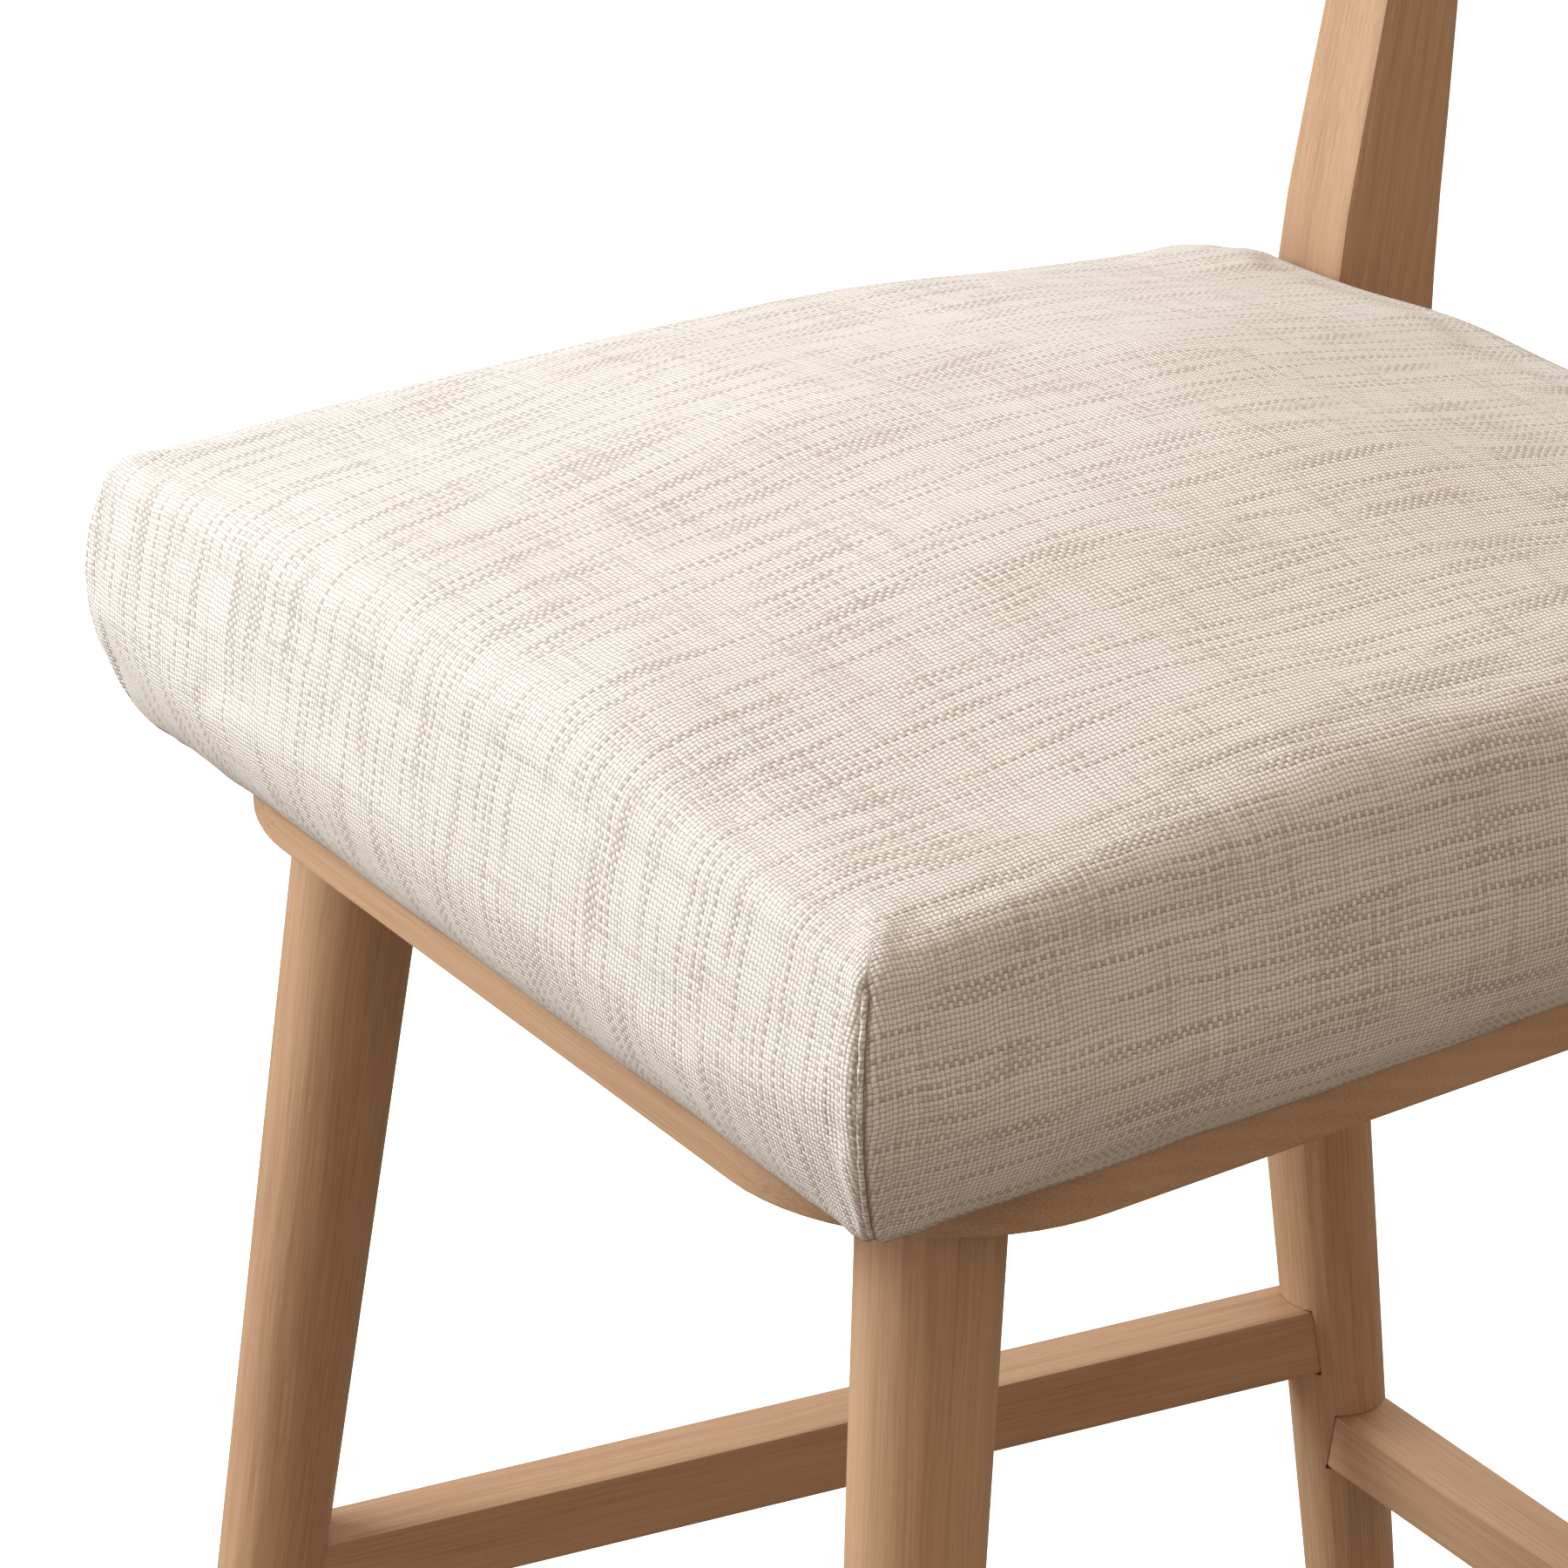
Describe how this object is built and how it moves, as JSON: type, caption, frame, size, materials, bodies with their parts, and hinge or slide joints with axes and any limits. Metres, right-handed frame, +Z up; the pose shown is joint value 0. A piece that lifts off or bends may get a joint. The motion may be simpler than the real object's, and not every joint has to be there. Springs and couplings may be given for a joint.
{
  "type": "counter stool",
  "caption": "Counter-height stool with padded linen seat on a rounded wooden board, splayed tapered legs, stretchers and a curved wooden back rail.",
  "frame": {"origin": "centre of the stool's bounding box, on the floor", "axes": "+Z up, the sitter faces -Y, +X is the side on the viewer's right when looking along +Y at its front"},
  "size_m": [0.468, 0.539, 0.9446],
  "materials": {
    "wood": "matt lacquered, fine straight grain",
    "linen": "slubby plain weave",
    "foam": "open-cell foam",
    "plywood": "unfinished",
    "lining": "non-woven, matt",
    "nylon": "moulded",
    "steel": "zinc plated"
  },
  "bodies": {
    "root": {"back_post_left": "wood", "back_post_right": "wood", "back_stretcher": "wood", "crest_plug_left_lower": "wood", "crest_plug_left_upper": "wood", "crest_plug_right_lower": "wood", "crest_plug_right_upper": "wood", "crest_rail": "wood", "crest_screw_left_lower": "steel", "crest_screw_left_upper": "steel", "crest_screw_right_lower": "steel", "crest_screw_right_upper": "steel", "dust_cover": "lining", "front_footrest": "wood", "glide_back_left": "nylon", "glide_back_right": "nylon", "glide_front_left": "nylon", "glide_front_right": "nylon", "leg_back_left": "wood", "leg_back_right": "wood", "leg_front_left": "wood", "leg_front_right": "wood", "post_screw_left_inner": "steel", "post_screw_left_outer": "steel", "post_screw_right_inner": "steel", "post_screw_right_outer": "steel", "seat_board": "wood", "seat_bolt_back_left": "steel", "seat_bolt_back_right": "steel", "seat_bolt_front_left": "steel", "seat_bolt_front_right": "steel", "seat_cover": "linen", "seat_foam": "foam", "seat_pan": "plywood", "side_stretcher_left": "wood", "side_stretcher_right": "wood", "tee_nut_back_left": "steel", "tee_nut_back_right": "steel", "tee_nut_front_left": "steel", "tee_nut_front_right": "steel"}
  },
  "joints": []
}
